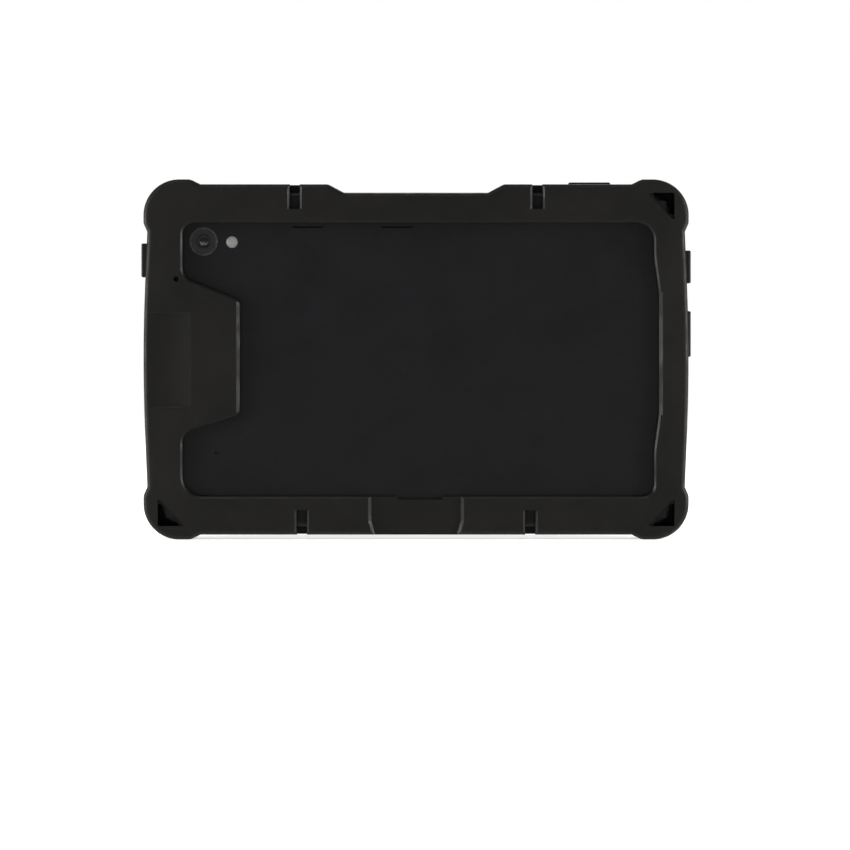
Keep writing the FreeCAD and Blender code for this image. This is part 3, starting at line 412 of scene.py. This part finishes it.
MOULDED = {
    "boot_rubber": dict(dark=RUBBER_DARK, light=RUBBER_LIGHT, worn=RUBBER_WORN, grain_mm=0.45,
                        grain_depth=0.05, roughness=(0.54, 0.70), specular=0.14),
    "button_plastic": dict(dark=COVER_DARK, light=COVER_LIGHT, worn=COVER_WORN, grain_mm=0.25,
                           grain_depth=0.02, roughness=(0.32, 0.44), specular=0.3),
    "tray_plastic": dict(dark=(0.6, 0.6, 0.58), light=(0.7, 0.7, 0.68), worn=(0.75, 0.75, 0.73),
                         grain_mm=0.4, grain_depth=0.02, roughness=(0.4, 0.5), specular=0.5),
    "module_black": dict(dark=(0.006, 0.006, 0.006), light=(0.011, 0.011, 0.011), worn=(0.02, 0.02, 0.02),
                         grain_mm=0.25, grain_depth=0.02, roughness=(0.38, 0.5), specular=0.4),
    "adhesive": dict(dark=(0.01, 0.01, 0.01), light=(0.015, 0.015, 0.015), worn=(0.02, 0.02, 0.02),
                     grain_mm=0.3, grain_depth=0.05, roughness=(0.8, 0.9), specular=0.2),
}


def make_looks():
    """Every finish by name."""
    trees = [cover_plastic(), screen_glass(), laminate(), flash_diffuser()]
    trees.append(clear_glass("camera_glass", (0.86, 0.87, 0.88)))
    trees += [polished(name, **values) for name, values in POLISHED.items()]
    trees += [brushed(name, **values) for name, values in BRUSHED.items()]
    trees += [moulded(name, **values) for name, values in MOULDED.items()]
    return {tree.name: tree.material for tree in trees}


def wear(obj, material):
    """Show a piece in one material."""
    obj.data.materials.clear()
    obj.data.materials.append(material)


def finish_cad_nodes(looks):
    """Give each CAD node the look of its slot in the record, and the key caps their painted signs."""
    for part in frame["record"]["subparts"]:
        wear(frame["nodes"][part["node"]], looks[part["material_slot"]])
    for node, (axis, end) in KEY_FACES.items():
        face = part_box(node)[end][axis]
        wear(frame["nodes"][node], key_rubber(node + "_rubber", axis, face).material)


# ---- Detail pieces -----------------------------------------------------------------------------------
def add_piece(name, mesh, body, material, smooth_angle=35.0):
    """Link a finished bmesh as a piece that rides on a body and takes a slot's finish."""
    data = bpy.data.meshes.new(name)
    bmesh.ops.recalc_face_normals(mesh, faces=mesh.faces)
    mesh.to_mesh(data)
    mesh.free()
    data.shade_smooth()
    data.set_sharp_from_angle(angle=math.radians(smooth_angle))
    obj = bpy.data.objects.new(name, data)
    bpy.context.scene.collection.objects.link(obj)
    wear(obj, material)
    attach(obj, body)
    return obj


def lathe(mesh, profile, centre, axis, steps=72):
    """Turn a closed profile of (radius, height) points, in millimetres, about an axis through centre."""
    turn = Vector((0, 0, 1)).rotation_difference(Vector(axis)).to_matrix().to_4x4()
    place = Matrix.Translation(centre) @ turn
    angles = [2 * math.pi * i / steps for i in range(steps)]
    rings = []
    for radius, height in profile:
        r = radius * MM
        h = height * MM
        if r == 0:
            rings.append([mesh.verts.new(place @ Vector((0, 0, h)))])
            continue
        points = [Vector((r * math.cos(a), r * math.sin(a), h)) for a in angles]
        rings.append([mesh.verts.new(place @ point) for point in points])
    for ring, following in zip(rings, rings[1:] + rings[:1]):
        if len(ring) == 1 and len(following) == 1:
            continue
        for i in range(steps):
            j = (i + 1) % steps
            corners = [ring[i % len(ring)], ring[j % len(ring)],
                       following[j % len(following)], following[i % len(following)]]
            mesh.faces.new(list(dict.fromkeys(corners)))


def add_bar(mesh, centre, size, bevel):
    """Small block with rounded edges."""
    made = bmesh.ops.create_cube(mesh, size=1.0)
    bmesh.ops.scale(mesh, vec=size, verts=made["verts"])
    bmesh.ops.translate(mesh, vec=centre, verts=made["verts"])
    edges = list(dict.fromkeys(e for v in made["verts"] for e in v.link_edges))
    bmesh.ops.bevel(mesh, geom=edges, offset=bevel, segments=2, affect="EDGES")


def dome(radius, rise, base, steps=10):
    """Profile points of a shallow dome, from its rim to its top, in millimetres."""
    points = []
    for i in range(steps + 1):
        angle = i / steps * math.pi / 2
        points.append((radius * math.cos(angle), base + rise * math.sin(angle)))
    points[-1] = (0, base + rise)
    return points


def add_rear_camera(looks):
    """Housing with a stepped lens barrel, its front lens, and the printed ring on the window's back."""
    window_low, window_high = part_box("rear_camera_window")
    housing_low, housing_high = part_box("rear_camera_module")
    centre = middle_of("rear_camera_window")
    back = (0, -1, 0)
    seat = Vector((centre.x, window_high.y, centre.z))
    box_back = seat + Vector((0, 0.8 * MM, 0))
    mesh = bmesh.new()
    size = housing_high - housing_low
    size.y = housing_high.y - box_back.y
    add_bar(mesh, box_back + Vector((0, size.y / 2, 0)), size, 0.4 * MM)
    lathe(mesh, BARREL, box_back, back)
    housing = add_piece("rear_camera_housing", mesh, "tablet", looks["module_black"], 25.0)
    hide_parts("rear_camera_module")
    mesh = bmesh.new()
    lens_radius = 2.2
    lathe(mesh, [(0, 0.08), (lens_radius, 0.08)] + dome(lens_radius, 0.36, 0.1)[1:], box_back, back)
    add_piece("rear_camera_lens", mesh, "tablet", looks["lens_coating"], 60.0)
    mesh = bmesh.new()
    inner = 3.9
    outer = (window_high.x - window_low.x) / 2 / MM - 0.15
    lathe(mesh, [(inner, 0.03), (outer, 0.03), (outer, 0.07), (inner, 0.07)], seat, back)
    add_piece("rear_camera_window_print", mesh, "tablet", looks["window_print"])


def add_flash_rings(looks):
    """Fine stepped rings moulded on the flash's lens."""
    low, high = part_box("flash_lens")
    centre = middle_of("flash_lens")
    outer = (high.x - low.x) / 2 / MM - 0.25
    pitch = 0.45
    points = [(0, -0.2), (outer, -0.2)]
    for i in range(int(outer / pitch)):
        rim = outer - i * pitch
        points += [(rim, 0.02), (rim - pitch + 0.08, 0.10)]
    points.append((0, 0.10))
    mesh = bmesh.new()
    lathe(mesh, points, Vector((centre.x, low.y, centre.z)), (0, -1, 0), 48)
    add_piece("flash_lens_rings", mesh, "tablet", looks["flash_diffuser"], 20.0)


def add_front_eyes(looks):
    """Front camera's lens and the light sensor's window, in the glass's border."""
    centre = middle_of("front_camera_module")
    place = Vector((centre.x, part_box("front_glass")[1].y, centre.z))
    forward = (0, 1, 0)
    mesh = bmesh.new()
    lathe(mesh, FRONT_TRIM, place, forward)
    add_piece("front_camera_trim", mesh, "tablet", looks["camera_trim"])
    mesh = bmesh.new()
    lens_radius = FRONT_TRIM[0][0]
    lathe(mesh, [(0, -0.2), (lens_radius, -0.2)] + dome(lens_radius, 0.05, -0.02), place, forward)
    add_piece("front_camera_lens", mesh, "tablet", looks["front_lens_coating"], 60.0)
    mesh = bmesh.new()
    lathe(mesh, SENSOR_WINDOW, place + Vector((SENSOR_ASIDE * MM, 0, 0)), forward, 40)
    add_piece("light_sensor_window", mesh, "tablet", looks["sensor_window"])


def add_port_contacts(looks):
    """Gold contacts on the USB tongue and the audio socket's gold mouth ring."""
    centre = middle_of("usb_c_socket")
    size = Vector((3.6, 0.08, 0.28)) * MM
    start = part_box("usb_c_socket")[0].x + 3.1 * MM
    count = 12
    pitch = 0.5 * MM
    mesh = bmesh.new()
    for side in (-1, 1):
        y = centre.y + side * TONGUE_HALF * MM
        for i in range(count):
            z = centre.z + (i - (count - 1) / 2) * pitch
            add_bar(mesh, Vector((start + size.x / 2, y, z)), size, 0.02 * MM)
    add_piece("usb_contacts", mesh, "tablet", looks["contact_gold"])
    mouth = Vector((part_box("audio_socket")[0].x, centre.y, middle_of("audio_socket").z))
    mesh = bmesh.new()
    lathe(mesh, AUDIO_RING, mouth, (-1, 0, 0), 48)
    add_piece("audio_mouth_ring", mesh, "tablet", looks["contact_gold"])


# ---- Studio ------------------------------------------------------------------------------------------
def add_floor():
    """Wide pale floor."""
    mesh = bmesh.new()
    bmesh.ops.create_circle(mesh, cap_ends=True, radius=FLOOR_RADIUS, segments=96)
    data = bpy.data.meshes.new("floor")
    mesh.to_mesh(data)
    mesh.free()
    floor = bpy.data.objects.new("floor", data)
    bpy.context.scene.collection.objects.link(floor)
    wear(floor, floor_paper().material)


def aim(obj, place, target):
    """Put a lamp or camera at a place, looking at a target."""
    obj.location = place
    obj.rotation_mode = "QUATERNION"
    obj.rotation_quaternion = (Vector(target) - Vector(place)).to_track_quat("-Z", "Y")


def add_panel(name, place, size, watts):
    """Soft rectangular light aimed at the object's middle."""
    light = bpy.data.lights.new(name, "AREA")
    light.shape = "RECTANGLE"
    light.size, light.size_y = size
    light.energy = watts
    obj = bpy.data.objects.new(name, light)
    bpy.context.scene.collection.objects.link(obj)
    obj.visible_camera = False
    aim(obj, place, middle)


def add_sun(name, direction, strength, angle):
    """Wide, soft light from one direction."""
    light = bpy.data.lights.new(name, "SUN")
    light.energy = strength
    light.angle = math.radians(angle)
    obj = bpy.data.objects.new(name, light)
    bpy.context.scene.collection.objects.link(obj)
    aim(obj, Vector(direction) * 3, (0, 0, 0))


def add_world():
    """White surroundings to look at, and a dimmer fill to light with."""
    world = bpy.data.worlds.new("studio")
    bpy.context.scene.world = world
    world.use_nodes = True
    nodes = world.node_tree.nodes
    links = world.node_tree.links
    background = nodes["Background"]
    background.inputs["Color"].default_value = (1.0, 1.0, 1.0, 1.0)
    seen = nodes.new("ShaderNodeLightPath").outputs["Is Camera Ray"]
    strength = nodes.new("ShaderNodeMapRange")
    strength.inputs["To Min"].default_value = FILL_STRENGTH
    strength.inputs["To Max"].default_value = 1.0
    links.new(seen, strength.inputs["Value"])
    links.new(strength.outputs[0], background.inputs["Strength"])


def add_camera():
    """Camera square to the back of the object."""
    data = bpy.data.cameras.new("camera")
    data.lens = LENS_MM
    data.sensor_width = SENSOR_MM
    data.shift_x, data.shift_y = SHIFT
    camera = bpy.data.objects.new("camera", data)
    bpy.context.scene.collection.objects.link(camera)
    distance = FRAME_WIDTH * LENS_MM / SENSOR_MM
    aim(camera, (middle.x, cad_low.y - distance, middle.z), middle)
    bpy.context.scene.camera = camera


looks = make_looks()
finish_cad_nodes(looks)
add_rear_camera(looks)
add_flash_rings(looks)
add_front_eyes(looks)
add_port_contacts(looks)
add_floor()
for panel in PANELS:
    add_panel(*panel)
add_sun("key", SUN_FROM, SUN_STRENGTH, SUN_ANGLE)
add_world()
add_camera()
bpy.context.scene.view_settings.view_transform = "Standard"
